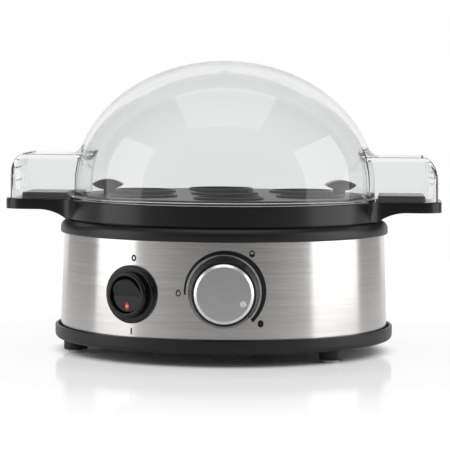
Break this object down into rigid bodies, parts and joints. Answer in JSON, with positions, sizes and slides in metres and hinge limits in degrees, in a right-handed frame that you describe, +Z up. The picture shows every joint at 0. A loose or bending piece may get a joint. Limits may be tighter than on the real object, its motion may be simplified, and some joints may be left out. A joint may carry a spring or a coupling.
{
  "type": "egg cooker",
  "caption": "Round electric egg cooker with a brushed steel band, front knob and rocker switch, eared steam tray, egg rack and clear domed lid.",
  "frame": {"origin": "on the table, under the middle of the outline seen from above", "axes": "+X to the right along the ears, +Y to the back, +Z up; the knob and switch face -Y"},
  "size_m": [0.2202, 0.1814, 0.146],
  "materials": {
    "base_plastic": "satin black moulding",
    "pad_rubber": "milky translucent soft pad",
    "steel_band": "stainless steel, brushed round the body",
    "bowl_metal": "satin metal with a light non-stick coat",
    "silicone": "soft red-brown silicone",
    "zinc_steel": "zinc-plated steel",
    "cast_alloy": "as-cast aluminium",
    "element_sheath": "dark oxidised heater tube",
    "phenolic": "brown-black phenolic",
    "fuse_case": "glazed cream case",
    "knob_plastic": "satin black",
    "knob_silver": "satin silver with a bright chamfer",
    "switch_plastic": "satin black",
    "rocker_plastic": "satin black",
    "lamp_red": "clear red window, lit",
    "block_plastic": "natural nylon",
    "wire_brown": "silicone insulation",
    "wire_black": "silicone insulation",
    "wire_blue": "silicone insulation",
    "wire_green": "silicone insulation",
    "tray_plastic": "glossy black deck, satin sides",
    "rack_plastic": "satin black",
    "clear_lid": "clear polished plastic"
  },
  "bodies": {
    "base": {"bottom_cover": "base_plastic", "foot_pads": "pad_rubber", "case_screws": "zinc_steel", "steel_shell": "steel_band", "upper_rim": "base_plastic", "heating_bowl": "bowl_metal", "bowl_seal": "silicone", "bowl_brackets": "zinc_steel", "bracket_screws": "zinc_steel", "heat_spreader": "cast_alloy", "heating_element": "element_sheath", "element_terminals": "zinc_steel", "boil_dry_thermostat": "phenolic", "thermostat_bracket": "zinc_steel", "thermal_fuse": "fuse_case", "fuse_clamp": "zinc_steel", "heater_screws": "zinc_steel", "regulator_body": "phenolic", "regulator_bracket": "zinc_steel", "regulator_nut": "zinc_steel", "regulator_terminals": "zinc_steel", "switch_collar": "switch_plastic", "switch_body": "switch_plastic", "switch_terminals": "zinc_steel", "cord_gland": "base_plastic", "terminal_block": "block_plastic", "terminal_screws": "zinc_steel", "live_lead": "wire_brown", "switched_lead": "wire_black", "thermostat_lead": "wire_black", "fuse_lead": "wire_black", "element_lead": "wire_black", "neutral_lead": "wire_blue", "earth_lead": "wire_green"},
    "knob": {"regulator_shaft": "zinc_steel", "knob_body": "knob_plastic", "knob_cap": "knob_silver", "knob_spring_clip": "zinc_steel"},
    "rocker": {"rocker": "rocker_plastic", "rocker_lens": "lamp_red"},
    "steam_tray": {"steam_tray": "tray_plastic"},
    "egg_rack": {"egg_rack": "rack_plastic"},
    "lid": {"lid": "clear_lid"}
  },
  "joints": [
    {"name": "knob_turn", "type": "hinge", "parent": "base", "child": "knob", "pos_m": [0, -0.09069, 0.0361], "axis": [0, 1, 0], "range_deg": [-205.7, 14.3]},
    {"name": "switch_rock", "type": "hinge", "parent": "base", "child": "rocker", "pos_m": [-0.04531, -0.06492, 0.0336], "axis": [-0.8406, 0.5417, 0], "range_deg": [0, 22]},
    {"name": "tray_lift", "type": "slide", "parent": "base", "child": "steam_tray", "axis": [0, 0, 1], "range_m": [0, 0.05]},
    {"name": "rack_lift", "type": "slide", "parent": "steam_tray", "child": "egg_rack", "axis": [0, 0, 1], "range_m": [0, 0.05]},
    {"name": "lid_lift", "type": "slide", "parent": "egg_rack", "child": "lid", "axis": [0, 0, 1], "range_m": [0, 0.1]}
  ]
}
